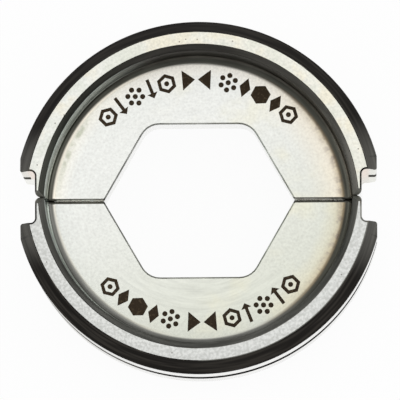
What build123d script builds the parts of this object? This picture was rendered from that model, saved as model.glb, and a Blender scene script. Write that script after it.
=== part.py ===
"""A matched pair of half-round hexagonal crimping dies, closed face to face.

The pair lies on its rim faces: +Z is the axis of the cable, and the XZ plane is the parting plane.
The upper half is on the +Y side. The origin is at the middle of the pair, on the plane that it lies on.
Both halves are the same part, so the lower one is the upper one turned half a turn about Z.
"""

import os
from math import radians, tan

from build123d import *

# Driving sizes, in millimetres

# Outer form
outer_radius = 22.85
arc_axis_offset = 0.98  # the axis of each half's arcs lies this far past the parting plane
side_flat_depth = 0.8  # ground off each side, measured in from the outer radius
total_width = 20.0  # along the cable

# Rim, from the outside in
taper_run = 1.5  # radial
taper_length = 2.8  # along the cable
rim_face_width = 1.55
inner_chamfer = 0.75
foot_chamfer = 0.85  # round the foot of the wall, where it meets the web

# Web
web_thickness = 6.0
parting_edge_radius = 0.35  # along the web and up the wall, or less where the tip is thin

# Groove for the catch of the press tool, half way along the outside
groove_width = 3.0
groove_depth = 1.4
groove_lip_chamfer = 0.2

# Notches at the ends of the rim
notch_height = 3.2  # from the parting plane
notch_inner_radius = 0.6
notch_outer_radius = 0.3
tip_thickness = 1.1  # what the notch leaves of the rim, outside the recess
tip_corner_radius = 0.5  # between the notch's wall and the parting plane, or less where the tip is thin
tip_chamfer = 0.6  # across the end of each rim face

# Nest that presses the lug
nest_across_flats = 19.05
nest_width = 23.7  # along the parting plane
nest_side_angle = 60  # degrees, from the parting plane
nest_corner_radius = 2.5
nest_edge_chamfer = 0.15

# Sizes that follow from those above
side_flat_x = outer_radius - side_flat_depth
rim_face_outer_radius = outer_radius - taper_run
rim_face_inner_radius = rim_face_outer_radius - rim_face_width
wall_radius = rim_face_inner_radius - inner_chamfer
notch_wall_x = wall_radius + tip_thickness
tip_corner = min(tip_corner_radius, tip_thickness / 2)
parting_edge = min(parting_edge_radius, tip_thickness / 3)
web_bottom = (total_width - web_thickness) / 2
web_top = web_bottom + web_thickness
past = outer_radius  # how far a cutter runs past what it cuts
near = 1e-4  # how close counts as on a plane


def lies_on(shape, axis, level):
    """Whether every corner of a shape lies at this level along X, Y or Z."""
    return all(abs(getattr(corner, axis) - level) < near for corner in shape.vertices())


def section():
    """The die's section from the axis of its arcs outwards, in the XZ plane with that axis on Z."""
    groove_start = (total_width - groove_width) / 2
    lower_part = [
        (0, web_bottom),
        (wall_radius - foot_chamfer, web_bottom),
        (wall_radius, web_bottom - foot_chamfer),
        (wall_radius, inner_chamfer),
        (rim_face_inner_radius, 0),
        (rim_face_outer_radius, 0),
        (outer_radius, taper_length),
        (outer_radius, groove_start - groove_lip_chamfer),
        (outer_radius - groove_lip_chamfer, groove_start),
        (outer_radius - groove_depth, groove_start),
    ]
    upper_part = [(x, total_width - z) for x, z in reversed(lower_part)]
    return make_face(Plane.XZ * Polyline(*lower_part, *upper_part, close=True))


def blank():
    """One half before milling: turned, then cut at the parting plane and ground at the side flats."""
    turning_axis = Axis((0, -arc_axis_offset, 0), (0, 0, 1))
    turned = revolve(Pos(0, -arc_axis_offset, 0) * section(), turning_axis)
    kept = Box(2 * side_flat_x, outer_radius, total_width, align=(Align.CENTER, Align.MIN, Align.MIN))
    return turned & kept


def notch_cutter():
    """What is milled from the +X end of the rim, with the rounding of the corners beside the notch."""
    tip_start = notch_wall_x - tip_corner
    wall_end = notch_height - notch_inner_radius
    ceiling_start = notch_wall_x + notch_inner_radius
    ceiling_end = side_flat_x - notch_outer_radius
    rounding_end = notch_height + notch_outer_radius
    outside = side_flat_x + past
    outline = [
        RadiusArc((tip_start, 0), (notch_wall_x, tip_corner), -tip_corner),
        Line((notch_wall_x, tip_corner), (notch_wall_x, wall_end)),
        RadiusArc((notch_wall_x, wall_end), (ceiling_start, notch_height), notch_inner_radius),
        Line((ceiling_start, notch_height), (ceiling_end, notch_height)),
        RadiusArc((ceiling_end, notch_height), (side_flat_x, rounding_end), -notch_outer_radius),
        Polyline(
            (side_flat_x, rounding_end), (outside, rounding_end), (outside, -past), (tip_start, -past)
        ),
        Line((tip_start, -past), (tip_start, 0)),
    ]
    return extrude(make_face(outline), total_width)


def tip_cutter():
    """The slanted cut across both ends of the upper rim face, where it meets the parting plane."""
    top = total_width + past
    corners = [(-past, top), (-past, total_width - tip_chamfer - past), (tip_chamfer + past, top)]
    return extrude(Plane.YZ.offset(-past) * make_face(Polyline(*corners, close=True)), 2 * past)


def nest_cutter():
    """The six-sided nest. Its two corners on the parting plane stay sharp."""
    half_width = nest_width / 2
    half_flats = nest_across_flats / 2
    flat_end = half_width - half_flats / tan(radians(nest_side_angle))
    upper_corners = [(half_width, 0), (flat_end, half_flats), (-flat_end, half_flats)]
    lower_corners = [(-x, -y) for x, y in upper_corners]
    hexagon = make_face(Polyline(*upper_corners, *lower_corners, close=True))
    flat_corners = [corner for corner in hexagon.vertices() if abs(corner.Y) > near]
    return extrude(fillet(flat_corners, nest_corner_radius), total_width)


def break_edges(half):
    """Chamfers the mouths of the nest, then rounds the parting edges along the web and up the wall."""
    web_edges = [
        edge for edge in half.edges()
        if lies_on(edge, "Z", web_bottom) or lies_on(edge, "Z", web_top)
    ]
    nest_mouths = [
        edge for edge in web_edges
        if not lies_on(edge, "Y", 0)
        and edge.center().Y < nest_across_flats / 2 + near
        and abs(edge.center().X) < nest_width / 2
    ]
    half = chamfer(nest_mouths, nest_edge_chamfer)
    nest_edge = nest_width / 2 + nest_edge_chamfer
    parting_edges = [
        edge for edge in half.edges()
        if lies_on(edge, "Y", 0) and nest_edge + near < abs(edge.center().X) < wall_radius
    ]
    return fillet(parting_edges, parting_edge)


def die_half():
    """The half on the +Y side of the parting plane."""
    right_notch = notch_cutter()
    upper_tips = tip_cutter()
    milled = blank() - right_notch - mirror(right_notch, Plane.YZ)
    milled = milled - upper_tips - mirror(upper_tips, Plane.XY.offset(total_width / 2))
    return break_edges(milled - nest_cutter())


upper_die_half = die_half()
lower_die_half = Rot(0, 0, 180) * upper_die_half

os.makedirs("parts", exist_ok=True)
export_step(upper_die_half, "parts/upper_die_half.step")
export_step(lower_die_half, "parts/lower_die_half.step")
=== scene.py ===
"""The looks of a pair of half-round hexagonal crimping dies, laid out as a Blender add-on.

Each half is turned from one section in Geometry Nodes, then cut to its outline, its nest and its
rounded parting edges. The photo looks down on the pair, so +Y is up in it. The floor is at Z = 0.
"""

import math
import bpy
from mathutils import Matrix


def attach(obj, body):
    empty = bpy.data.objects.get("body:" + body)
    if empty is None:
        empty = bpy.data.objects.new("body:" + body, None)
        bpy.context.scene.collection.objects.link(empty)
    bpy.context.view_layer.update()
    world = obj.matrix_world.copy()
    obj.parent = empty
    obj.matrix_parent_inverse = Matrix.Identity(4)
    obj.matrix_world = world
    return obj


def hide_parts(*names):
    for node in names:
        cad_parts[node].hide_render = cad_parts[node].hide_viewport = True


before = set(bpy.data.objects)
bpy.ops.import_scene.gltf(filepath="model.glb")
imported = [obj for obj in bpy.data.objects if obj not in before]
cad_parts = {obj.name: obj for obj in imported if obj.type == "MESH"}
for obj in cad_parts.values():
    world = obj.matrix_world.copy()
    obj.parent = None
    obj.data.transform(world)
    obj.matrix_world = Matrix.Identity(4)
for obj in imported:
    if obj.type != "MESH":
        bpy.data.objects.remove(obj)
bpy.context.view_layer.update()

from types import SimpleNamespace

import bmesh
import bpy
import numpy as np
from bpy.props import FloatProperty, FloatVectorProperty, IntProperty, PointerProperty
from mathutils import Matrix, Vector

bl_info = {
    "name": "Crimping Dies",
    "version": (1, 0, 0),
    "blender": (4, 5, 0),
    "location": "3D View > Sidebar > Dies",
    "description": "Builds a pair of hexagonal crimping dies around their fixed frame",
    "category": "Object",
}

MM = 0.001
FINE_TURN = math.radians(13)  # how far one facet of a rounded corner turns
SHARP = math.radians(28)  # edges that turn further than this stay crisp
MERGE = 0.0005 * MM  # points closer than this become one
CLOSE = 0.02 * MM  # a face this close to a plane lies on it
SQUARE = 0.999  # a face square to an axis has more than this of its normal along it
BOARD_GLOW = 0.95  # share of the board's white that shadow doesn't reach
BOARD_SIZE = 6.0
SENSOR = 36  # width of the camera's sensor, in its own millimetres
AIM = (0.22 * MM, -0.53 * MM)  # where the middle of the picture falls on the plane of the rim faces
ROOM_LIGHT = 0.6
LAMPS = [  # name, place, size and power
    ("overhead", (0.1, 0.25, 1.4), 1.2, 3.9),
    ("left", (-1.1, 0.0, 0.35), 0.7, 2.0),
    ("right", (1.1, 0.0, 0.35), 0.7, 2.4),
]
SPOT = 0.5  # how wide the spots of a noise texture are, in its own unit
NOISE_LOW, NOISE_HIGH = 0.3, 0.7  # nearly all of a noise lies between these
LINE_STRETCH = 14  # how much longer than the width of its spots a turning line is


def colour(code):
    """An sRGB hex colour as the linear red, green and blue that Blender works in."""
    parts = [int(code[i:i + 2], 16) / 255 for i in (1, 3, 5)]
    return tuple(c / 12.92 if c <= 0.04045 else ((c + 0.055) / 1.055) ** 2.4 for c in parts)


# Sizes and colours that a user would change

def size_prop(name, millimetres, description):
    return FloatProperty(name=name, default=millimetres * MM, min=0, unit="LENGTH", precision=5,
                         description=description)


class DieSizes(bpy.types.PropertyGroup):
    outer_radius: size_prop("Outer radius", 22.85, "Radius of each half's outside")
    axis_offset: size_prop("Arc axis offset", 0.98, "From the parting plane to the arcs' axis")
    side_flat: size_prop("Side flat", 22.05, "From the middle to the flat ground on each side")
    width: size_prop("Width", 20.0, "Along the cable")
    taper_run: size_prop("Taper run", 1.5, "Radial size of the taper at each end of the outside")
    taper_length: size_prop("Taper length", 2.8, "Size of that taper along the cable")
    rim_face: size_prop("Rim face", 1.55, "Width of the flat face of the rim")
    inner_chamfer: size_prop("Inner chamfer", 0.75, "Chamfer between the rim face and the recess")
    foot_radius: size_prop("Foot radius", 1.0, "Rounding where the recess wall meets the web")
    web: size_prop("Web thickness", 6.0, "Thickness of the middle, along the cable")
    parting_edge: size_prop("Parting edge", 0.35, "Rounding of the recess on the parting plane")
    groove_width: size_prop("Groove width", 3.0, "Width of the catch groove")
    groove_depth: size_prop("Groove depth", 1.4, "Depth of the catch groove")
    groove_lip: size_prop("Groove lip", 0.2, "Chamfer of the groove's lips")
    notch_height: size_prop("Notch height", 3.2, "From the parting plane to the notch's ceiling")
    tip: size_prop("Tip thickness", 1.1, "What the notch leaves of the rim outside the recess")
    tip_corner: size_prop("Tip corner", 0.7, "Rounding between the notch and the parting plane")
    tip_chamfer: size_prop("Tip chamfer", 0.8, "Chamfer across each end of the rim faces")
    edge_break: size_prop("Edge break", 0.22, "Chamfer where the notches meet the rim faces")
    flats: size_prop("Across flats", 19.05, "Nest, from flat to flat")
    nest_width: size_prop("Nest width", 23.7, "Nest, along the parting plane")
    nest_corner: size_prop("Nest corner radius", 2.5, "Rounding of the nest's four inner corners")
    nest_edge: size_prop("Nest edge", 0.19, "Chamfer of the nest's mouths")
    mark_height: size_prop("Mark height", 2.5, "Height of the marks on the web")
    mark_stroke: size_prop("Mark stroke", 0.42, "Width of the lines in the marks")
    mark_radius: size_prop("Mark radius", 16.1, "From the arcs' axis to the middle of the marks")
    mark_gap: size_prop("Mark gap", 0.34, "Gap between neighbouring marks")
    mark_depth: size_prop("Mark depth", 0.012, "How far the burnt skin of the marks stands up")
    arc_steps: IntProperty(name="Arc steps", default=240, min=24, max=720,
                           description="Facets in each half's half circle")


SURFACES = [
    ("web", "#e2e3df", "Web, at the upper left"),
    # Painted shade: the web darker at the lower right, where less light falls
    ("web_shaded", "#d4d6cb", "Web, at the lower right"),
    ("film", "#c9b795", "Yellow film on the web beside the wall"),
    ("upper_rim", "#dfded4", "Rim face of the upper half"),
    # Painted shade: the lower half's rim face darker than the upper's
    ("lower_rim", "#c9cac7", "Rim face of the lower half"),
    # Painted reflection: the tapers dark, as if they reflected dark surroundings
    ("taper", "#272523", "Tapers of the outside"),
    # Painted light: the tapers paler at their ends, left and right
    ("taper_ends", "#5c5b57", "Ends of the tapers, beside the notches"),
    # Painted reflection in the recess: dark in the upper half, paler in the lower half
    ("recess", "#4c4a46", "Wall and chamfer of the upper half's recess"),
    ("lower_recess", "#7a7a75", "Wall and chamfer of the lower half's recess"),
    # Painted shade: the dark ring at the foot of the upper half's wall
    ("foot", "#57574f", "Foot of the upper half's wall"),
    # Painted highlight: a light streak on the wall at the left
    ("sheen", "#e6efe9", "Light streak on the wall at the left"),
    ("ground", "#f8f8f6", "Nest, notches and parting faces"),
    ("land", "#cfcfc9", "Outside and side flats"),
    ("tip", "#8a8a84", "Slanted ends of the rims"),
    ("mark", "#3a2e1f", "Marks burnt into the web"),
    ("floor", "#ffffff", "The surface that the dies lie on"),
]

# Hex colours of the tints that vary those from place to place
TINTS = SimpleNamespace(
    web_clouds="#e4dfc2",
    # Painted light on the upper web beside the wall, lifting the shade there
    web_painted_light_by_wall="#f8f4ea",
    web_cream="#f2e6d0",
    web_straw="#e2d9b8",
    web_blots="#9a8f88",
    web_green_blots="#b4b8a2",
    # The middle and the brown fringe of the foot's ring of painted shade
    foot_middle="#4b4b45",
    foot_fringe="#5c4a33",
    rim_left="#dfe0da",
    rim_warm_clouds="#e2d8bc",
    rim_cool_clouds="#c9cdbf",
    rim_dark_grain="#a9aaa5",
    rim_pale_grain="#ebece8",
    pits="#4d463c",
    # Painted light and shade in the recess: darker at the left, paler at the right and low on the
    # wall, darker at the lower ends
    recess_left="#3b3c37",
    recess_right="#605e59",
    recess_ends="#52524e",
    low_wall="#7a7872",
    taper_lines="#3a3733",
    # Painted light in the groove at the lower left
    groove_painted_light_left="#8c8b86",
    # Painted shade on the parting edge's rounding, and a painted highlight beside it
    parting_edge="#57564f",
    parting_painted_shine="#f6f2e8",
    broken_edge="#211f1c",
    worn_edge="#5a564e",
    ceiling="#d9d4c8",
    ceiling_peach="#ebd7c6",
    ceiling_right="#eaece2",
    ceiling_far="#f6f6f0",
    land_clouds="#b9b9b0",
    land_lines="#c4c4be",
    mark_specks="#6a5b45",
)


class DieColours(bpy.types.PropertyGroup):
    __annotations__ = {
        key: FloatVectorProperty(name=key.capitalize().replace("_", " "), subtype="COLOR", size=3,
                                 min=0, max=1, default=colour(code), description=text)
        for key, code, text in SURFACES
    }


class StageSettings(bpy.types.PropertyGroup):
    distance: FloatProperty(name="Camera distance", default=0.9, min=0.1, unit="LENGTH",
                            description="From the camera to the plane of the rim faces")
    lean_down: FloatProperty(name="Lean down", default=math.radians(4.95), subtype="ANGLE",
                             description="How far the camera stands towards the lower half")
    lean_right: FloatProperty(name="Lean right", default=math.radians(1.1), subtype="ANGLE",
                              description="How far the camera stands to the right")
    roll: FloatProperty(name="Roll", default=math.radians(0.3), subtype="ANGLE",
                        description="How far the picture is turned")
    view_width: size_prop("View width", 49.12, "What the picture takes in at the rim faces")


# Helpers

def add_node(tree, kind, inputs=None, **settings):
    """Adds a node with its settings and gives its outputs. Each input is a plain value, a colour,
    the socket that feeds it, or a list of such sockets."""
    node = tree.nodes.new(kind)
    for key, value in settings.items():
        setattr(node, key, value)
    for key, value in (inputs or {}).items():
        socket = node.inputs[key]
        if isinstance(value, bpy.types.NodeSocket):
            value = [value]
        if isinstance(value, list):
            for source in value:
                tree.links.new(source, socket)
        elif socket.type == "RGBA":
            socket.default_value = (*(colour(value) if isinstance(value, str) else value), 1)
        else:
            socket.default_value = value
    return node.outputs


def rounded(corners):
    """A closed line through corners, each given with how far it is rounded."""
    line, count = [], len(corners)
    for i, (*corner, radius) in enumerate(corners):
        at = np.array(corner, float)
        if radius <= 0:
            line.append(at)
            continue
        back, ahead = (np.array(corners[j % count][:2], float) - at for j in (i - 1, i + 1))
        back, ahead = back / np.linalg.norm(back), ahead / np.linalg.norm(ahead)
        inside = math.acos(np.clip(back @ ahead, -1, 1))
        middle = back + ahead
        centre = at + middle / np.linalg.norm(middle) * radius / math.sin(inside / 2)
        start, end = (at + way * radius / math.tan(inside / 2) - centre for way in (back, ahead))
        steps = max(2, math.ceil((math.pi - inside) / FINE_TURN))
        turn = math.atan2(start[0] * end[1] - start[1] * end[0], start @ end)
        for k in range(steps + 1):
            a = turn * k / steps
            line.append(centre + np.array([start[0] * math.cos(a) - start[1] * math.sin(a),
                                           start[0] * math.sin(a) + start[1] * math.cos(a)]))
    return [tuple(p) for p in line]


def shell(name, rings):
    """A closed mesh from rings of points that match one to one, capped at both ends."""
    count = len(rings[0])
    points = [tuple(p) for ring in rings for p in ring]
    faces = [tuple(range(count)), tuple(range(len(points) - 1, len(points) - count - 1, -1))]
    for i in range(len(rings) - 1):
        for j in range(count):
            k = (j + 1) % count
            faces.append((i * count + j, i * count + k, (i + 1) * count + k, (i + 1) * count + j))
    return mesh_of(name, points, faces)


def mesh_of(name, points, faces):
    """A mesh whose faces all point outwards."""
    mesh = bpy.data.meshes.new(name)
    mesh.from_pydata(points, [], faces)
    bm = bmesh.new()
    bm.from_mesh(mesh)
    bmesh.ops.recalc_face_normals(bm, faces=bm.faces)
    bm.to_mesh(mesh)
    bm.free()
    return mesh


def joined(name, meshes):
    """Several meshes as one."""
    bm = bmesh.new()
    for mesh in meshes:
        bm.from_mesh(mesh)
    made = bpy.data.meshes.new(name)
    bm.to_mesh(made)
    bm.free()
    return made


def flipped(mesh, axis, about=0.0):
    """A mirrored copy of a mesh, with its faces outwards again."""
    copy = mesh.copy()
    way = Vector([float(i == axis) for i in range(3)])
    copy.transform(Matrix.Translation(2 * about * way) @ Matrix.Scale(-1, 4, way))
    copy.flip_normals()
    return copy


def new_object(name, data):
    """An object in the scene that holds a mesh, a lamp or a camera."""
    made = bpy.data.objects.new(name, data)
    bpy.context.scene.collection.objects.link(made)
    return made


def hidden_object(name, mesh):
    """An object that only a node tree reads."""
    made = new_object(name, mesh)
    made.hide_render = True
    return made


def with_nodes(name, mesh, tree, inputs):
    """A mesh in an object that a node tree works on, with the tree's inputs."""
    work = new_object(name, mesh)
    nodes = work.modifiers.new(name, "NODES")
    nodes.node_group = tree
    for key, value in inputs.items():
        nodes[tree.interface.items_tree[key].identifier] = value
    return work


def new_tree(name, geometry, result, inputs):
    """A Geometry Nodes tree from a geometry and other named inputs to a result. Its last inputs
    are how far the result is turned, and its material."""
    tree = bpy.data.node_groups.new(name, "GeometryNodeTree")
    inputs = {geometry: "Geometry", **inputs, "Turn": "Float", "Material": "Material"}
    for key, kind in inputs.items():
        tree.interface.new_socket(key, in_out="INPUT", socket_type="NodeSocket" + kind)
    tree.interface.new_socket(result, in_out="OUTPUT", socket_type="NodeSocketGeometry")
    return tree, add_node(tree, "NodeGroupInput")


def end_tree(tree, given, shape):
    """Turns a tree's shape, makes it plain geometry and puts its material on."""
    turn = add_node(tree, "ShaderNodeCombineXYZ", {"Z": given["Turn"]})[0]
    turned = add_node(tree, "GeometryNodeTransform", {"Geometry": shape, "Rotation": turn})[0]
    real = add_node(tree, "GeometryNodeRealizeInstances", {"Geometry": turned})[0]
    result = add_node(tree, "GeometryNodeSetMaterial", {
        "Geometry": real, "Material": given["Material"]})[0]
    add_node(tree, "NodeGroupOutput", {0: result})
    return tree


# Materials

def new_material(name):
    made = bpy.data.materials.new(name)
    made.use_nodes = True
    made.node_tree.nodes.clear()
    return made, made.node_tree


def new_finish(context, name, **patterns):
    """Starts a material for the die, with what its nodes need: the coordinates of a point, its
    distance from the nearer half's arc axis (rho), how far it is to the right and up as shares of
    that distance, and the patterns. Each pattern is a noise of "even" spots, or of spots "turned"
    into lines round the die, with the spots' width in millimetres and the noise's detail."""
    s = context.scene.die_sizes
    made, tree = new_material(name)
    even = add_node(tree, "ShaderNodeTexCoord")["Object"]
    x, y, z = add_node(tree, "ShaderNodeSeparateXYZ", {0: even})
    beside = add_node(tree, "ShaderNodeMath", {0: y}, operation="ABSOLUTE")[0]
    past = add_node(tree, "ShaderNodeMath", {0: beside, 1: s.axis_offset})[0]
    flat = add_node(tree, "ShaderNodeCombineXYZ", {0: x, 1: past})[0]
    rho = add_node(tree, "ShaderNodeVectorMath", {0: flat}, operation="LENGTH")["Value"]
    right, up = (
        add_node(tree, "ShaderNodeMath", {0: part, 1: rho}, operation="DIVIDE")[0]
        for part in (x, y))
    turn = add_node(tree, "ShaderNodeMath", {0: past, 1: x}, operation="ARCTAN2")[0]
    along = add_node(tree, "ShaderNodeMath", {0: turn, 1: s.outer_radius / LINE_STRETCH},
                     operation="MULTIPLY")[0]
    turned = add_node(tree, "ShaderNodeCombineXYZ", {0: rho, 1: along, 2: z})[0]
    for key, (lie, width, detail) in patterns.items():
        patterns[key] = add_node(tree, "ShaderNodeTexNoise", {
            0: turned if lie == "turned" else even, "Scale": SPOT / (width * MM),
            "Detail": detail})[0]
    return SimpleNamespace(
        made=made, tree=tree, sizes=s, colours=context.scene.die_colours, even=even, x=x, y=y, z=z,
        beside=beside, rho=rho, right=right, up=up, **patterns)


def zone(value, start, end, soft):
    """1 where a value lies between start and end, and 0 outside, over a soft border."""
    borders = []
    for limit, sign in ((start, 1), (end, -1)):
        if limit is not None:
            borders.append(add_node(value.id_data, "ShaderNodeMapRange", {
                "Value": value, "From Min": limit - sign * soft / 2,
                "From Max": limit + sign * soft / 2}, interpolation_type="SMOOTHSTEP")[0])
    return summed(borders)


def halves(die, soft):
    """The zones of the upper and the lower half."""
    return zone(die.y, 0, None, soft), zone(die.y, None, 0, soft)


def summed(*products):
    """The sum of several products of zones and plain numbers. The first of all is a zone."""
    tree, total = products[0][0].id_data, None
    for value, *others in products:
        for other in others:
            value = add_node(tree, "ShaderNodeMath", {0: value, 1: other}, operation="MULTIPLY")[0]
        total = value if total is None else add_node(
            tree, "ShaderNodeMath", {0: total, 1: value})[0]
    return total


def layered(base, *layers):
    """A colour with others laid over it, each as strongly as the product of what follows it."""
    for over, *zones in layers:
        strength = summed(zones)
        base = add_node(strength.id_data, "ShaderNodeMix", {0: strength, 6: base, 7: over},
                        data_type="RGBA")[2]
    return base


def as_steel(die, base, lines, contrast, relief, rough, smooth, gleam=(1, 1, 1)):
    """Gives the steel its shader. Its lines or grain change its tone, its gloss and its relief, and
    its gleam is what it keeps of the light at a glancing view."""
    tone, gloss = (
        add_node(die.tree, "ShaderNodeMapRange", {
            "Value": lines, "From Min": NOISE_LOW, "From Max": NOISE_HIGH,
            "To Min": low, "To Max": high})[0]
        for low, high in ((1 - contrast, 1 + contrast), (rough, smooth)))
    toned = add_node(die.tree, "ShaderNodeVectorMath", {0: base, "Scale": tone},
                     operation="SCALE")[0]
    bump = add_node(die.tree, "ShaderNodeBump", {"Height": lines, "Distance": relief})[0]
    shader = add_node(die.tree, "ShaderNodeBsdfPrincipled", {
        "Base Color": toned, "Metallic": 1.0, "Roughness": gloss, "Normal": bump,
        "Specular Tint": gleam})[0]
    add_node(die.tree, "ShaderNodeOutputMaterial", {"Surface": shader})
    return die.made


def web_colour(die):
    """The web: cool white at the upper left, greyer at the lower right as painted shade, with a
    yellow brown film beside the wall on the right and painted light beside the wall in the upper
    half. The foot's dark ring of painted shade starts on it, sooner in some places."""
    s, colours, rho, right = die.sizes, die.colours, die.rho, die.right
    foot = wall_radius(s) - s.foot_radius
    upper, lower = halves(die, 0.2 * MM)
    film_right = zone(right, 0.74, None, 0.5)
    cloud, blots = (
        add_node(die.tree, "ShaderNodeTexNoise", {
            0: die.even, "Scale": SPOT / width, "Detail": detail})[0]
        for width, detail in ((2.4 * MM, 3.0), (0.5 * MM, 4.0)))
    downhill = add_node(die.tree, "ShaderNodeVectorMath", {0: die.even, 1: (0.45, -0.9, 0)},
                        operation="DOT_PRODUCT")["Value"]

    def near_wall(inwards, soft):
        return zone(rho, foot - inwards * MM, None, soft * MM)

    base = layered(
        colours.web,
        # Painted shade: the web greyer towards the lower right
        (colours.web_shaded, zone(downhill, 3 * MM, None, 26 * MM)),
        (TINTS.web_clouds, zone(cloud, 0.6, None, 0.25), zone(right, -0.2, None, 1.0), 0.35),
        # Painted light: the upper web paler beside the wall
        (TINTS.web_painted_light_by_wall, near_wall(1.2, 2.4), upper, 0.85),
        (TINTS.web_cream, near_wall(2.6, 4), upper, zone(right, 0.55, None, 0.6), 0.5),
        (TINTS.web_straw, near_wall(1.8, 2.2), lower, zone(right, 0.6, None, 0.4), 0.4),
        (colours.film, near_wall(0.55, 1.5), film_right, zone(cloud, 0.4, None, 0.3), 0.8),
        (colours.film, near_wall(0.2, 0.5), film_right, 0.3),
        (TINTS.web_blots, near_wall(0.6, 1.4), zone(right, 0.76, None, 0.3),
         zone(blots, 0.56, None, 0.14), 0.75),
        (colours.film, near_wall(0.1, 0.4), zone(right, None, -0.3, 0.5), 0.3),
        (TINTS.web_green_blots, zone(rho, foot - 0.75 * MM, foot - 0.15 * MM, 0.4 * MM),
         zone(right, -0.975, -0.78, 0.12), upper, zone(blots, 0.45, None, 0.3), 0.7))
    # Where the foot's ring of painted shade starts sooner, or later, and by how much
    sooner = summed(
        (upper, zone(right, -0.35, None, 1.2), 0.3 * MM),
        (lower, 0.03 * MM),
        (lower, zone(right, -0.92, None, 0.3), 0.24 * MM),
        (lower, zone(right, -0.42, None, 0.3), -0.14 * MM),
        (lower, zone(right, 0.62, None, 0.2), 0.07 * MM))
    ring = add_node(die.tree, "ShaderNodeMath", {0: rho, 1: sooner})[0]
    # The foot's ring of painted shade, paler in the lower half
    dark = layered(
        colours.foot, (TINTS.foot_middle, zone(right, -0.45, 0.85, 0.5)),
        (colours.lower_recess, lower), (colours.foot, lower, zone(right, 0.6, None, 0.5)))
    return layered(
        base, (dark, zone(ring, foot + 0.23 * MM, None, 0.36 * MM)),
        (TINTS.foot_fringe, zone(ring, foot + 0.05 * MM, foot + 0.4 * MM, 0.3 * MM),
         zone(right, 0.5, None, 0.5), 0.5))


def milled_steel(context):
    """Zinc-plated tool steel, milled flat: a pale satin face with a sandy grain and faint cutter's
    arcs. The rim faces have a few small pits, and the lower half's rim face is darker as painted
    shade."""
    die = new_finish(
        context, "zinc_plated_milled_steel",
        cloud=("even", 1.3, 3.0),
        # The plating's grain is about 0.05 mm, drawn three times as coarse so that it shows
        grain=("even", 0.17, 3.0),
        # The cutter's arcs are about 0.1 mm apart, drawn 0.2 mm apart for the same reason
        arcs=("turned", 0.2, 2.0))
    colours, cloud, grain = die.colours, die.cloud, die.grain
    upper, lower = halves(die, 0.2 * MM)
    # The arcs are faint, and plainest below the nest
    swirl = summed(
        (zone(die.y, None, -9.2 * MM, 2 * MM), zone(die.x, -10 * MM, 12 * MM, 6 * MM),
         zone(die.rho, None, 15 * MM, 1 * MM), 0.55),
        (0.25,))
    lines = add_node(die.tree, "ShaderNodeMix", {0: swirl, 2: grain, 3: die.arcs})[0]
    # Pits of about 0.1 mm, in one of twenty places, and in two of five near the top of the rim
    pits = add_node(die.tree, "ShaderNodeTexVoronoi", {"Vector": die.even, "Scale": 1 / (1.1 * MM)},
                    voronoi_dimensions="2D")
    draw = add_node(die.tree, "ShaderNodeSeparateColor", {0: pits["Color"]})[0]
    needed = add_node(die.tree, "ShaderNodeMapRange", {
        "Value": zone(die.up, 0.93, None, 0.04), "To Min": 0.95, "To Max": 0.62})[0]
    chosen = add_node(die.tree, "ShaderNodeMath", {0: draw, 1: needed}, operation="GREATER_THAN")[0]
    rim = layered(
        # Painted shade: the lower half's rim face darker
        colours.lower_rim, (colours.upper_rim, upper),
        (TINTS.rim_left, upper, zone(die.right, None, -0.45, 0.5)),
        (TINTS.rim_warm_clouds, zone(cloud, 0.56, None, 0.2), upper, 0.4),
        (TINTS.rim_cool_clouds, zone(cloud, None, 0.42, 0.2), upper, 0.4),
        (TINTS.rim_dark_grain, zone(grain, 0.56, None, 0.12), lower, 0.5),
        (TINTS.rim_pale_grain, zone(grain, None, 0.44, 0.12), lower, 0.5),
        (TINTS.pits, zone(pits["Distance"], None, 0.075, 0.06), chosen, 0.75))
    on_rim = zone(die.rho, wall_radius(die.sizes) + 0.4 * MM, None, 0.1 * MM)
    return as_steel(die, layered(web_colour(die), (rim, on_rim)), lines,
                    contrast=0.17, relief=0.004 * MM, rough=0.36, smooth=0.46)


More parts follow.
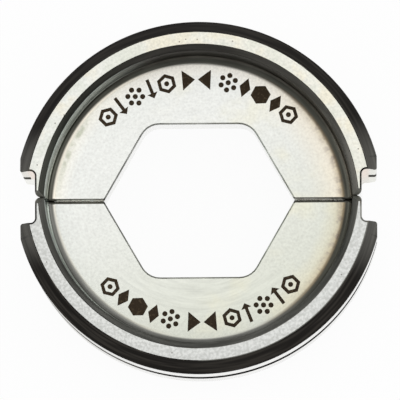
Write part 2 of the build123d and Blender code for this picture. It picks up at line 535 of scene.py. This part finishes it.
def turned_steel(context):
    """The same steel where it was turned at an angle: a glossy band with fine turning lines,
    painted dark as a reflection of dark surroundings. It is paler at its ends as painted light, and
    the wall has a painted highlight at the left."""
    die = new_finish(
        context, "turned_steel_painted_dark_reflection",
        # The feed of the turning tool was about 0.1 mm, drawn 0.3 mm apart so that it shows
        lines=("turned", 0.3, 2.0))
    s, colours, rho, right = die.sizes, die.colours, die.rho, die.right
    wall = wall_radius(s)
    upper, lower = halves(die, 0.3 * MM)
    at_left = zone(right, None, -0.5, 0.5)
    sideways = add_node(die.tree, "ShaderNodeMath", {0: right}, operation="ABSOLUTE")[0]
    low_wall = zone(die.z, None, (s.width + s.web) / 2 + 2.2 * MM, 1.8 * MM)
    # Painted reflection in the recess: darker at the upper left, paler at the right, low on the
    # wall and in the lower half, darker at the lower half's ends
    recess = layered(
        colours.recess,
        (TINTS.recess_left, at_left, upper),
        (TINTS.recess_right, zone(right, 0.4, None, 0.5)),
        (TINTS.low_wall, low_wall, zone(right, -0.45, None, 0.4), 0.8),
        (colours.lower_recess, lower),
        (TINTS.recess_ends, lower, zone(sideways, 0.8, None, 0.5)),
        # Painted highlight on the wall at the left, in both halves
        (colours.sheen, zone(rho, wall - 0.12 * MM, wall + 0.04 * MM, 0.06 * MM), at_left, upper),
        (colours.sheen, zone(rho, wall - 0.26 * MM, wall + 0.02 * MM, 0.08 * MM), at_left, lower))
    # Painted reflection: the tapers dark, with their real turning lines
    taper = layered(
        colours.taper,
        (TINTS.taper_lines, zone(die.lines, 0.53, None, 0.14), 0.6),
        # Painted light at the left and right ends of the tapers
        (colours.taper_ends, zone(right, 0.92, None, 0.12)),
        (colours.taper_ends, zone(right, None, -0.94, 0.1)))
    groove = s.groove_width / 2 + s.groove_lip
    base = layered(
        web_colour(die),
        (recess, zone(rho, wall - 0.3 * MM, None, 0.2 * MM)),
        (taper, zone(rho, wall + 1.0 * MM, None, 0.05 * MM)),
        # Painted light: the groove paler at the lower left
        (TINTS.groove_painted_light_left, zone(die.z, s.width / 2 - groove, s.width / 2 + groove, 0.1 * MM),
         lower, zone(right, None, -0.5, 0.7)),
        # Painted shade on the rounded parting edge, then a painted highlight just above the parting
        # plane
        (TINTS.parting_edge, zone(die.beside, None, s.parting_edge + 0.02 * MM, 0.04 * MM),
         zone(rho, None, wall - 0.5 * MM, 0.2 * MM)),
        (TINTS.parting_painted_shine, zone(die.y, 0.01 * MM, 0.18 * MM, 0.03 * MM),
         zone(rho, None, wall - 1.3 * MM, 0.4 * MM)))
    # Half the gleam takes the bright rim off a glancing view of the painted dark reflection
    return as_steel(die, base, die.lines, contrast=0.28, relief=0.003 * MM, rough=0.3, smooth=0.4,
                    gleam=(0.5, 0.5, 0.5))


def slanted_steel(context):
    """The same steel on the rims' slanted ends: dull grey, because they reflect each other."""
    # The plating's grain is drawn 0.2 mm wide here, four times as coarse as it is
    die = new_finish(context, "dull_slanted_steel", grain=("even", 0.2, 3.0))
    base = layered(die.colours.tip,
                   # Painted shade: darker beside the parting plane, where the two slanted ends meet
                   (die.colours.taper, zone(die.beside, None, 0.12 * MM, 0.1 * MM), 0.5))
    return as_steel(die, base, die.grain, contrast=0.12, relief=0.003 * MM, rough=0.34, smooth=0.42)


def broken_edge_steel(context):
    """The same steel on the broken edges of the rim faces: a thin dark outline of painted
    reflection, worn in places and paler at the lower right."""
    # The grain is drawn as coarse as on the slanted ends
    die = new_finish(context, "broken_edge_steel_painted_dark_reflection",
                     wear=("even", 0.6, 3.0), grain=("even", 0.2, 3.0))
    base = layered(
        # Painted reflection: a dark outline on the edges, worn in places
        TINTS.broken_edge, (TINTS.worn_edge, zone(die.wear, 0.6, None, 0.12)),
        (die.colours.tip, zone(die.x, 0, None, 1 * MM), zone(die.y, None, -1.2 * MM, 0.8 * MM),
         0.8))
    return as_steel(die, base, die.grain, contrast=0.12, relief=0.002 * MM, rough=0.3, smooth=0.4)


def ground_steel(context):
    """The same steel, ground: the brightest and smoothest of its faces. Round the outside it is
    satin with fine lines, nearly white on the lower half as a painted reflection, and the notches'
    ceilings have a warm tint beside the rim."""
    die = new_finish(
        context, "zinc_plated_ground_steel",
        # The grain is drawn as coarse as on the slanted ends
        grain=("even", 0.2, 3.0),
        # The grinding lines are about 0.1 mm apart, drawn 0.25 mm apart so that they show
        lines=("turned", 0.25, 3.0),
        cloud=("even", 3.0, 3.0))
    s, colours, rho, right = die.sizes, die.colours, die.rho, die.right
    far = add_node(die.tree, "ShaderNodeMath", {0: die.x}, operation="ABSOLUTE")[0]
    notch, rim_end = wall_radius(s) + s.tip, s.outer_radius - 0.1 * MM
    outside = summed(
        (zone(rho, rim_end, None, 0.1 * MM),),
        (zone(far, s.side_flat - 0.05 * MM, None, 0.02 * MM), zone(rho, None, rim_end, 0.1 * MM)))
    ceiling = zone(die.beside, 1.2 * MM, s.notch_height + 0.1 * MM, 0.3 * MM)
    near_side = zone(die.z, 8 * MM, None, 12 * MM)
    base = layered(
        colours.ground,
        (TINTS.ceiling, zone(far, notch - 0.1 * MM, None, 0.3 * MM), ceiling),
        (TINTS.ceiling_peach, zone(far, notch, notch + 0.9 * MM, 0.7 * MM), ceiling, near_side),
        (TINTS.ceiling_right, zone(far, notch + 1.0 * MM, None, 0.5 * MM), ceiling,
         zone(right, 0, None, 0.2), 0.8),
        (TINTS.ceiling_far, zone(die.z, None, 8.4 * MM, 0.6 * MM), ceiling,
         zone(right, None, 0, 0.2), 0.9),
        (colours.land, outside),
        (TINTS.land_clouds, outside, zone(die.cloud, 0.55, None, 0.3), 0.6),
        # Painted reflection: the lower half's outside nearly white, except at the left
        (colours.ground, outside, zone(die.y, None, 0, 2 * MM), zone(right, -0.5, None, 0.6), 0.92),
        (TINTS.land_lines, outside, zone(die.lines, None, 0.42, 0.1), 0.25))
    lines = add_node(die.tree, "ShaderNodeMix", {0: outside, 2: die.grain, 3: die.lines})[0]
    return as_steel(die, base, lines, contrast=0.06, relief=0.0015 * MM, rough=0.2, smooth=0.3)


def burnt_mark(context):
    """Steel burnt dark brown by a marking laser: matt, with a slightly uneven tone."""
    made, tree = new_material("burnt_steel_mark")
    even = add_node(tree, "ShaderNodeTexCoord")["Object"]
    # The laser's specks are about 0.05 mm, drawn 0.18 mm wide so that they show
    specks = add_node(tree, "ShaderNodeTexNoise", {
        0: even, "Scale": SPOT / (0.18 * MM), "Detail": 2.0})[0]
    base = layered(context.scene.die_colours.mark,
                   (TINTS.mark_specks, zone(specks, 0.62, None, 0.2), 0.5))
    shader = add_node(tree, "ShaderNodeBsdfPrincipled", {
        "Base Color": base, "Roughness": 0.7, "Specular IOR Level": 0.2})
    add_node(tree, "ShaderNodeOutputMaterial", {"Surface": shader[0]})
    return made


def floor_paint(context):
    """Matt white board. It is plain white to the camera and in the metal, and keeps the shadow."""
    made, tree = new_material("matt_white_board")
    paint = add_node(tree, "ShaderNodeBsdfDiffuse", {"Color": context.scene.die_colours.floor})[0]
    glow = add_node(tree, "ShaderNodeEmission", {"Strength": 1.0})[0]
    path = add_node(tree, "ShaderNodeLightPath")
    seen = path["Is Camera Ray"]
    for key in ("Is Glossy Ray", "Is Transmission Ray"):
        seen = add_node(tree, "ShaderNodeMath", {0: seen, 1: path[key]}, operation="MAXIMUM")[0]
    board = add_node(tree, "ShaderNodeMixShader", {
        0: summed((seen, BOARD_GLOW)), 1: paint, 2: glow})[0]
    add_node(tree, "ShaderNodeOutputMaterial", {"Surface": board})
    return made


# The die halves

def wall_radius(s):
    """The radius of the recess's wall."""
    return s.outer_radius - s.taper_run - s.rim_face - s.inner_chamfer


def section(s):
    """The die's section as one closed line of radii and heights, from inside the nest outwards."""
    wall = wall_radius(s)
    inside = s.flats / 2 - 1.5 * MM
    top = s.width / 2
    # Radius, height from the middle of the width, and how far that corner is rounded
    upper = [
        (inside, s.web / 2, 0),
        (wall, s.web / 2, s.foot_radius),
        (wall, top - s.inner_chamfer, 0.12 * MM),
        (wall + s.inner_chamfer, top, 0.1 * MM),
        (s.outer_radius - s.taper_run, top, 0.12 * MM),
        (s.outer_radius, top - s.taper_length, 0.15 * MM),
        (s.outer_radius, s.groove_width / 2 + s.groove_lip, 0.06 * MM),
        (s.outer_radius - s.groove_lip, s.groove_width / 2, 0.06 * MM),
        (s.outer_radius - s.groove_depth, s.groove_width / 2, 0.15 * MM),
    ]
    lower = [(r, -z, rounding) for r, z, rounding in reversed(upper)]
    return [(r, z + top) for r, z in rounded(upper + lower)]


def outline(s, inset):
    """What is kept of the turned ring, seen along the cable. It ends at the side flats, at the
    notches and on the parting plane."""
    tip_x, flat_x = wall_radius(s) + s.tip - inset, s.side_flat - inset
    notch, far = s.notch_height + inset, 2 * s.outer_radius
    right = [(tip_x, inset, s.tip_corner - inset), (tip_x, notch, 0.6 * MM + inset),
             (flat_x, notch, 0.3 * MM - inset), (flat_x, far, 0)]
    left = [(-x, y, rounding) for x, y, rounding in reversed(right)]
    return rounded(right + left)


def outline_cutter(s):
    """The outline as a prism, drawn in at both ends to break the edges of the rim faces."""
    past = 0.05 * MM
    drawn_in = s.edge_break + past
    levels = [(-MM, drawn_in), (-past, drawn_in), (s.edge_break, 0),
              (s.width - s.edge_break, 0), (s.width + past, drawn_in), (s.width + MM, drawn_in)]
    return shell("outline", [[(x, y, z) for x, y in outline(s, inset)] for z, inset in levels])


def nest_line(s, out):
    """The nest's outline, moved outwards by a distance."""
    steep = math.radians(60)  # the nest's slanted sides
    flats, half = s.flats / 2 + out, s.nest_width / 2 + out / math.sin(steep)
    inner, radius = half - flats / math.tan(steep), s.nest_corner + out
    return rounded([(half, 0, 0), (inner, flats, radius), (-inner, flats, radius),
                    (-half, 0, 0), (-inner, -flats, radius), (inner, -flats, radius)])


def nest_cutter(s):
    """The nest, flared at both mouths."""
    low, high, past = (s.width - s.web) / 2, (s.width + s.web) / 2, 0.3 * MM
    levels = [(low - past, s.nest_edge + past), (low + s.nest_edge, 0),
              (high - s.nest_edge, 0), (high + past, s.nest_edge + past)]
    return shell("nest", [[(x, y, z) for x, y in nest_line(s, out)] for z, out in levels])


def tip_cutter(s):
    """The slanted cut across the upper ends of the rim."""
    past, side = MM, 1.2 * s.outer_radius
    ring = [(-past, s.width + past), (-past, s.width - s.tip_chamfer - past),
            (s.tip_chamfer + past, s.width + past)]
    return shell("tips", [[(x, y, z) for y, z in ring] for x in (-side, side)])


def edge_cutter(s):
    """What rounds the recess's edge on the parting plane, across the web and up the wall."""
    wall, web_top = wall_radius(s), (s.width + s.web) / 2
    foot, r, start = s.foot_radius, s.parting_edge, s.nest_width / 2 - 2 * MM
    # The edge's radius and height, and the way from there into the steel, outwards and upwards
    path = [(rho, web_top, 0, -1) for rho in np.linspace(start, wall - foot, 12)[:-1]]
    for a in np.linspace(0, math.pi / 2, 13):
        path.append((wall - foot + foot * math.sin(a), web_top + foot - foot * math.cos(a),
                     math.sin(a), -math.cos(a)))
    path += [(wall, z, 1, 0) for z in np.linspace(web_top + foot, s.width + MM, 8)[1:]]
    # The cutter's own section: how deep in the steel, and how far from the parting plane. Its arc
    # stops short of both faces, and straight tails take it past them
    short, tail, past = 0.06, 0.05 * r, 0.2 * r
    arc = [(r - r * math.cos(a), r - r * math.sin(a))
           for a in np.linspace(short, math.pi / 2 - short, 9)]
    cut = [(-past, r + tail), *arc, (r + tail, -past), (-past, -past)]
    rings = [[(math.sqrt((rho + deep * out) ** 2 - (y + s.axis_offset) ** 2), y, z + deep * up)
              for deep, y in cut] for rho, z, out, up in path]
    return shell("edge", rings)


def half_tree():
    """Turns a section round the arcs' axis and cuts the ring to shape."""
    tree, given = new_tree("die half", "Section", "Die half", {
        "Arc steps": "Int", "Arc axis offset": "Float", "Outline": "Object", "Nest": "Object",
        "Tips": "Object", "Edges": "Object"})
    line = add_node(tree, "GeometryNodeMeshToCurve", {"Mesh": given["Section"]})[0]
    # The arc's radius is 1, and the section stands that much nearer to its middle
    flat = add_node(tree, "GeometryNodeTransform", {
        "Geometry": line, "Translation": (-1, 0, 0), "Rotation": (math.pi / 2, 0, 0)})[0]
    arc = add_node(tree, "GeometryNodeCurveArc", {
        "Resolution": given["Arc steps"], "Radius": 1, "Sweep Angle": math.pi})[0]
    ring = add_node(tree, "GeometryNodeCurveToMesh", {
        "Curve": arc, "Profile Curve": flat, "Fill Caps": True})[0]
    down = add_node(tree, "ShaderNodeMath", {0: given["Arc axis offset"], 1: -1},
                    operation="MULTIPLY")[0]
    move = add_node(tree, "ShaderNodeCombineXYZ", {"Y": down})[0]
    shape = add_node(tree, "GeometryNodeTransform", {"Geometry": ring, "Translation": move})[0]
    for name, operation in (("Outline", "INTERSECT"), ("Nest", "DIFFERENCE"),
                            ("Tips", "DIFFERENCE"), ("Edges", "DIFFERENCE")):
        tool = add_node(tree, "GeometryNodeObjectInfo", {"Object": given[name]})["Geometry"]
        meshes = {"Mesh 2": [shape, tool]}
        if operation == "DIFFERENCE":
            meshes = {"Mesh 1": shape, "Mesh 2": tool}
        shape = add_node(tree, "GeometryNodeMeshBoolean", meshes,
                         operation=operation, solver="MANIFOLD")["Mesh"]
    clean = add_node(tree, "GeometryNodeMergeByDistance", {"Geometry": shape, "Distance": MERGE})[0]
    smooth = add_node(tree, "GeometryNodeSetShadeSmooth", {"Geometry": clean}, domain="FACE")[0]
    bend = add_node(tree, "GeometryNodeInputMeshEdgeAngle")["Unsigned Angle"]
    crisp = add_node(tree, "ShaderNodeMath", {0: bend, 1: SHARP}, operation="GREATER_THAN")[0]
    edged = add_node(tree, "GeometryNodeSetShadeSmooth", {
        "Geometry": smooth, "Selection": crisp, "Shade Smooth": False}, domain="EDGE")[0]
    return end_tree(tree, given, edged)


def plain_mesh(work, name):
    """The evaluated mesh of an object, in an object of its own at the origin."""
    bpy.context.view_layer.update()
    evaluated = work.evaluated_get(bpy.context.evaluated_depsgraph_get())
    mesh = bpy.data.meshes.new_from_object(evaluated)
    if not mesh.polygons:
        raise RuntimeError(f"{name} came out empty")
    mesh.name = name
    work.modifiers.clear()
    bpy.data.objects.remove(work)
    return new_object(name, mesh)


def build_half(s, name, turn, tree, cutters, material):
    points = [(r, 0, z) for r, z in section(s)]
    line = bpy.data.meshes.new("section")
    line.from_pydata(points, [(i, (i + 1) % len(points)) for i in range(len(points))], [])
    work = with_nodes("blank", line, tree, {
        "Arc steps": s.arc_steps + 1, "Arc axis offset": s.axis_offset, "Turn": turn,
        "Material": material, **cutters})
    work.modifiers.new("Even shading", "WEIGHTED_NORMAL").keep_sharp = True
    return plain_mesh(work, name)


def surface_of(s, x, y, z, nx, ny, nz):
    """A face's finish, from its middle and its normal, both for the half on the +Y side."""
    wall, top = wall_radius(s), s.width / 2
    height = abs(z - top)  # from the middle of the width
    rho = math.hypot(x, y + s.axis_offset)
    outward = (nx * x + ny * (y + s.axis_offset)) / rho
    if abs(nz) > SQUARE and min(abs(height - top), abs(height - s.web / 2)) < CLOSE:
        return "milled"
    if (ny < -SQUARE and y < CLOSE) or abs(abs(x) - s.side_flat) < CLOSE:
        return "ground"
    at_45_degrees = abs(ny + abs(nz)) < 0.01 and ny < -0.5
    if at_45_degrees and height > top - s.tip_chamfer - CLOSE and y < s.tip_chamfer:
        return "slanted"
    if height > top - s.edge_break - CLOSE:
        return "edge"
    # The notch, with the rounding beside the side flat, but not the groove's floor
    in_notch = abs(x) > wall + s.tip - s.tip_corner and y < s.notch_height + 0.35 * MM
    if in_notch and abs(nz) < 0.3:
        in_groove = outward > 0.9 and abs(rho - s.outer_radius + s.groove_depth) < 0.1 * MM
        return "turned" if in_groove else "ground"
    on_outside = outward > 0.98 and rho > s.outer_radius - CLOSE
    if on_outside and height < top - s.taper_length - 0.1 * MM:
        return "ground"
    if height < s.web / 2 - s.nest_edge - CLOSE and rho < wall - s.foot_radius:
        return "ground"
    return "turned"


def assign_surfaces(s, piece, materials, sign):
    """Puts each face's own finish on it. sign is -1 for the half on the -Y side."""
    mesh = piece.data
    mesh.materials.clear()
    keys = list(materials)
    for key in keys:
        mesh.materials.append(materials[key])
    for face in mesh.polygons:
        c, n = face.center, face.normal
        face.material_index = keys.index(surface_of(s, c.x, sign * c.y, c.z, n.x, sign * n.y, n.z))


class DIES_OT_halves(bpy.types.Operator):
    """Builds both halves of the die"""
    bl_idname = "dies.halves"
    bl_label = "Die Halves"

    def execute(self, context):
        s = context.scene.die_sizes
        middle = s.width / 2
        tip, edge = tip_cutter(s), edge_cutter(s)
        edges = [edge, flipped(edge, 0)]
        edges += [flipped(side, 2, middle) for side in edges]
        cutters = {
            "Outline": hidden_object("outline_tool", outline_cutter(s)),
            "Nest": hidden_object("nest_tool", nest_cutter(s)),
            "Tips": hidden_object("tip_tool", joined("tips", [tip, flipped(tip, 2, middle)])),
            "Edges": hidden_object("edge_tool", joined("edges", edges)),
        }
        tree = half_tree()
        finishes = {"milled": milled_steel(context), "turned": turned_steel(context),
                    "ground": ground_steel(context), "slanted": slanted_steel(context),
                    "edge": broken_edge_steel(context)}
        for name, turn, node in (("upper_half", 0.0, "upper_die_half"),
                                 ("lower_half", math.pi, "lower_die_half")):
            piece = build_half(s, name, turn, tree, cutters, finishes["milled"])
            assign_surfaces(s, piece, finishes, 1 if turn == 0 else -1)
            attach(piece, "root")
            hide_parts(node)
        for tool in cutters.values():
            bpy.data.objects.remove(tool)
        return {"FINISHED"}


# The marks

def plate(s, outer, inner=None):
    """A flat closed plate from one outline, or a ring between two that match point to point."""
    low, high = -2 * s.mark_depth, s.mark_depth
    if inner is None:
        return shell("plate", [[(x, y, z) for x, y in outer] for z in (low, high)])
    count = len(outer)
    rings = [(outer, low), (outer, high), (inner, high), (inner, low)]
    points = [(x, y, z) for ring, z in rings for x, y in ring]
    faces = [(i * count + j, i * count + (j + 1) % count, (i + 1) % 4 * count + (j + 1) % count,
              (i + 1) % 4 * count + j) for i in range(4) for j in range(count)]
    return mesh_of("ring", points, faces)


def polygon(sides, radius, x=0.0, y=0.0, turn=0.0):
    angles = [turn + math.tau * k / sides for k in range(sides)]
    return [(x + radius * math.cos(a), y + radius * math.sin(a)) for a in angles]


def mark_shapes(s):
    """The marks, each about its own middle with +Y outwards: plain figures that spell nothing."""
    half, line = s.mark_height / 2, s.mark_stroke
    upright = math.pi / 6  # turns a six-sided figure onto its corner
    hexagon = polygon(6, half, turn=upright)
    nest = [plate(s, hexagon, polygon(6, half - 1.15 * line, turn=upright)),
            plate(s, polygon(20, 0.75 * line))]
    dot = 0.78 * line
    strands = [plate(s, polygon(16, dot, *place))
               for place in [(0, 0), *polygon(6, half - dot, turn=upright)]]
    neck = 1.6 * line
    arrow = [(-line / 2, half), (-line / 2, neck - half), (-neck, neck - half), (0, -half),
             (neck, neck - half), (line / 2, neck - half), (line / 2, half)]
    squeeze = 1.9 * line
    return {
        "nest": joined("nest", nest),
        "strands": joined("strands", strands),
        "arrow": plate(s, arrow),
        "diamond": plate(s, [(0, -half), (1.7 * line, 0), (0, half), (-1.7 * line, 0)]),
        "pressed": plate(s, hexagon),
        "from_left": plate(s, [(-squeeze, -half), (squeeze, 0), (-squeeze, half)]),
        "from_right": plate(s, [(squeeze, -half), (squeeze, half), (-squeeze, 0)]),
    }


# Where each group of marks is centred, in degrees round from +X, and its figures from left to right
MARK_GROUPS = [
    (119.4, ["nest", "arrow", "strands", "arrow", "nest"]),
    (91, ["from_left", "from_right"]),
    (61.6, ["strands", "diamond", "pressed", "diamond", "nest"]),
]


def mark_places(s, shapes):
    """Each mark's figure and angle, with the same gap between neighbours."""
    places = []
    for centre, kinds in MARK_GROUPS:
        widths = [2 * max(v.co.x for v in shapes[kind].vertices) for kind in kinds]
        across = sum(widths) + s.mark_gap * (len(kinds) - 1)
        left = -across / 2
        for kind, width in zip(kinds, widths):
            places.append((kind, math.radians(centre) - (left + width / 2) / s.mark_radius))
            left += width + s.mark_gap
    return places


def mark_tree(kinds):
    """Sets a figure on each point of the marks' arc, turned outwards."""
    tree, given = new_tree("marks", "Points", "Marks", dict.fromkeys(kinds, "Object"))
    figures = [add_node(tree, "GeometryNodeObjectInfo", {
        "Object": given[kind], "As Instance": True})["Geometry"] for kind in kinds]
    # The last link into a joining socket comes first in its list
    stack = add_node(tree, "GeometryNodeJoinGeometry", {0: figures[::-1]})[0]
    which, angle = (
        add_node(tree, "GeometryNodeInputNamedAttribute", {"Name": key}, data_type=kind)[0]
        for key, kind in (("figure", "INT"), ("angle", "FLOAT")))
    outwards = add_node(tree, "ShaderNodeCombineXYZ", {"Z": angle})[0]
    placed = add_node(tree, "GeometryNodeInstanceOnPoints", {
        "Points": given["Points"], "Instance": stack, "Pick Instance": True,
        "Instance Index": which, "Rotation": outwards})[0]
    return end_tree(tree, given, placed)


class DIES_OT_marks(bpy.types.Operator):
    """Burns the marks into the web of both halves"""
    bl_idname = "dies.marks"
    bl_label = "Marks"

    def execute(self, context):
        s = context.scene.die_sizes
        shapes = mark_shapes(s)
        places = mark_places(s, shapes)
        figures = {kind: hidden_object(kind, mesh) for kind, mesh in shapes.items()}
        kinds = list(figures)
        tree, finish = mark_tree(kinds), burnt_mark(context)
        for name, turn in (("upper_marks", 0.0), ("lower_marks", math.pi)):
            points = bpy.data.meshes.new("arc")
            points.from_pydata([
                (s.mark_radius * math.cos(angle), s.mark_radius * math.sin(angle) - s.axis_offset,
                 (s.width + s.web) / 2) for _, angle in places], [], [])
            for key, kind, values in (
                    ("figure", "INT", [kinds.index(kind) for kind, _ in places]),
                    ("angle", "FLOAT", [angle - math.pi / 2 for _, angle in places])):
                points.attributes.new(key, kind, "POINT").data.foreach_set("value", values)
            work = with_nodes("arc", points, tree, {"Turn": turn, "Material": finish, **figures})
            piece = plain_mesh(work, name)
            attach(piece, "root")
        for figure in figures.values():
            bpy.data.objects.remove(figure)
        return {"FINISHED"}


# The stage

class DIES_OT_stage(bpy.types.Operator):
    """Builds the floor, the lamps and the camera"""
    bl_idname = "dies.stage"
    bl_label = "Stage"

    def execute(self, context):
        scene = context.scene
        stage, s = scene.die_stage, scene.die_sizes
        half = BOARD_SIZE / 2
        board = bpy.data.meshes.new("floor")
        board.from_pydata([(-half, -half, 0), (half, -half, 0), (half, half, 0), (-half, half, 0)],
                          [], [(0, 1, 2, 3)])
        board.materials.append(floor_paint(context))
        new_object("floor", board)
        scene.world = bpy.data.worlds.new("soft room")
        scene.world.use_nodes = True
        room = scene.world.node_tree
        room.nodes.clear()
        light = add_node(room, "ShaderNodeBackground", {"Color": (1, 1, 1), "Strength": ROOM_LIGHT})
        add_node(room, "ShaderNodeOutputWorld", {"Surface": light[0]})
        for name, place, size, power in LAMPS:
            data = bpy.data.lights.new(name, "AREA")
            data.shape, data.size, data.energy = "SQUARE", size, power
            lamp = new_object(name, data)
            lamp.location = place
            away = Vector(place) - Vector((0, 0, s.width))
            lamp.rotation_euler = away.to_track_quat("Z", "Y").to_euler()
        scene.view_settings.view_transform = "Standard"
        data = bpy.data.cameras.new("camera")
        data.sensor_width = SENSOR
        data.lens = SENSOR * stage.distance / stage.view_width
        camera = new_object("camera", data)
        aim = Vector((*AIM, s.width))
        lean = Vector((math.tan(stage.lean_right), -math.tan(stage.lean_down), 1))
        camera.location = aim + stage.distance * lean
        back = (camera.location - aim).normalized()
        right = Vector((0, 1, 0)).cross(back).normalized()
        look = Matrix((right, back.cross(right), back)).transposed()
        camera.rotation_euler = (look @ Matrix.Rotation(-stage.roll, 3, "Z")).to_euler()
        scene.camera = camera
        return {"FINISHED"}


class DIES_PT_panel(bpy.types.Panel):
    """Lists the pieces of the dies and the stage"""
    bl_idname = "DIES_PT_panel"
    bl_label = "Crimping Dies"
    bl_space_type = "VIEW_3D"
    bl_region_type = "UI"
    bl_category = "Dies"

    def draw(self, context):
        for kind in OPERATORS:
            self.layout.operator(kind.bl_idname, text=kind.bl_label)
        for group in (context.scene.die_sizes, context.scene.die_colours, context.scene.die_stage):
            box = self.layout.box()
            for key in group.bl_rna.properties.keys():
                if key not in ("rna_type", "name"):
                    box.prop(group, key)


OPERATORS = [DIES_OT_halves, DIES_OT_marks, DIES_OT_stage]
CLASSES = [DieSizes, DieColours, StageSettings, *OPERATORS, DIES_PT_panel]


def register():
    for made in CLASSES:
        bpy.utils.register_class(made)
    bpy.types.Scene.die_sizes = PointerProperty(type=DieSizes)
    bpy.types.Scene.die_colours = PointerProperty(type=DieColours)
    bpy.types.Scene.die_stage = PointerProperty(type=StageSettings)


def unregister():
    del bpy.types.Scene.die_stage, bpy.types.Scene.die_colours, bpy.types.Scene.die_sizes
    for made in reversed(CLASSES):
        bpy.utils.unregister_class(made)


def main():
    register()
    bpy.ops.dies.halves()
    bpy.ops.dies.marks()
    bpy.ops.dies.stage()


if __name__ == "__main__":
    main()
